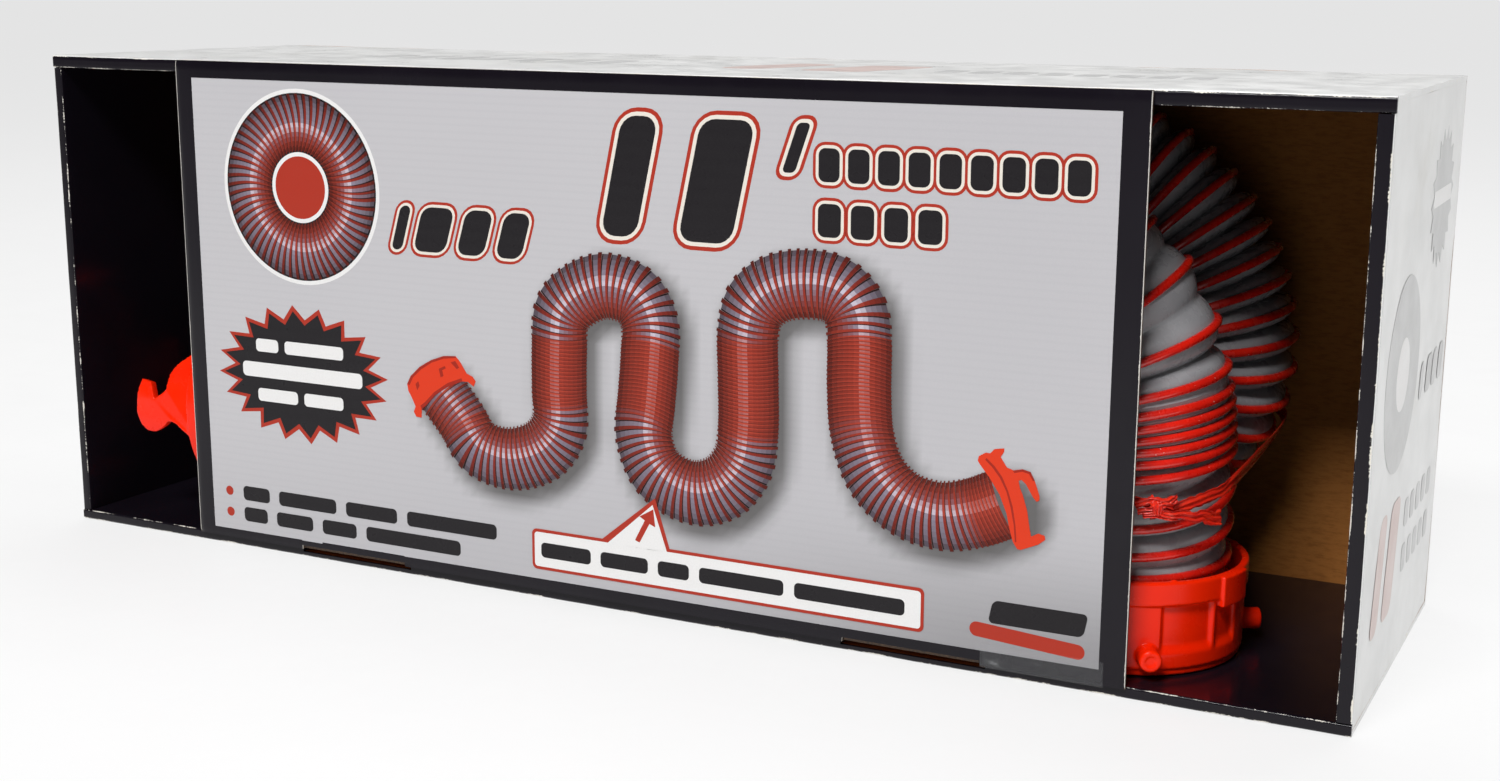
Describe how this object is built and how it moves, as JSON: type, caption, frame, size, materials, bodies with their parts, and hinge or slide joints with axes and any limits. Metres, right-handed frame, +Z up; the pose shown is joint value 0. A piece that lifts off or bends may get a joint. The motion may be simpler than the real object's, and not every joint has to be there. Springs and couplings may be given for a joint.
{
  "type": "sewer hose kit",
  "caption": "Collapsible grey and red hose with swivel lug and bayonet couplings, folded in an open-front carton whose front panel hinges up.",
  "frame": {"origin": "middle of the carton's underside, on the surface it stands on", "axes": "+X along the carton to the right as seen from its open front, +Y to its back panel, +Z up"},
  "size_m": [0.662, 0.1886, 0.245],
  "materials": {
    "kraft_board": "bare kraft liner",
    "white_print": "coated white print, semi-gloss",
    "black_print": "glossy black print",
    "silver_print": "coated silver-grey print",
    "clear_tape": "clear glossy film",
    "grey_elastomer": "glossy thermoplastic elastomer",
    "red_bead": "glossy red bead",
    "red_film": "stretched plastic ribbon",
    "orange_plastic": "moulded, satin gloss",
    "black_rubber": "matt moulded rubber"
  },
  "bodies": {
    "carton": {"back_panel": "kraft_board", "top_panel": "white_print", "bottom_panel": "kraft_board", "left_end_panel": "white_print", "right_end_panel": "white_print", "top_flap": "black_print", "bottom_flap": "black_print", "left_flap": "black_print", "right_flap": "black_print", "hose_wall": "grey_elastomer", "tie_ribbon": "red_film", "lug_collar": "orange_plastic", "lug_seal": "black_rubber", "bayonet_collar": "orange_plastic", "bayonet_seal": "black_rubber"},
    "front_panel": {"front_panel": "silver_print", "tape_seal": "clear_tape"},
    "left_tuck_tab": {"left_tuck_tab": "black_print"},
    "right_tuck_tab": {"right_tuck_tab": "black_print"},
    "lug_ring": {"lug_ring": "orange_plastic", "lug_retaining_ring": "orange_plastic"},
    "bayonet_ring": {"bayonet_ring": "orange_plastic", "bayonet_retaining_ring": "orange_plastic", "bayonet_face_gasket": "black_rubber"}
  },
  "joints": [
    {"name": "front_panel_hinge", "type": "hinge", "parent": "carton", "child": "front_panel", "pos_m": [0, -0.09125, 0.245], "axis": [-1, 0, 0], "range_deg": [0, 180]},
    {"name": "left_tab_fold", "type": "hinge", "parent": "front_panel", "child": "left_tuck_tab", "pos_m": [-0.1481, -0.0924, 0.00655], "axis": [-1, 0, 0], "range_deg": [0, 90]},
    {"name": "right_tab_fold", "type": "hinge", "parent": "front_panel", "child": "right_tuck_tab", "pos_m": [0.1481, -0.0924, 0.00655], "axis": [-1, 0, 0], "range_deg": [0, 90]},
    {"name": "lug_ring_swivel", "type": "hinge", "parent": "carton", "child": "lug_ring", "pos_m": [0.224, -0.0325, 0.02], "axis": [0, 0, 1], "continuous": true},
    {"name": "bayonet_ring_swivel", "type": "hinge", "parent": "carton", "child": "bayonet_ring", "pos_m": [-0.255, -0.033, 0.0646], "axis": [1, 0, 0], "continuous": true}
  ],
  "couplings": [
    {"joint": "left_tab_fold", "follows": "front_panel_hinge", "ratio": 0.5},
    {"joint": "right_tab_fold", "follows": "front_panel_hinge", "ratio": 0.5}
  ]
}
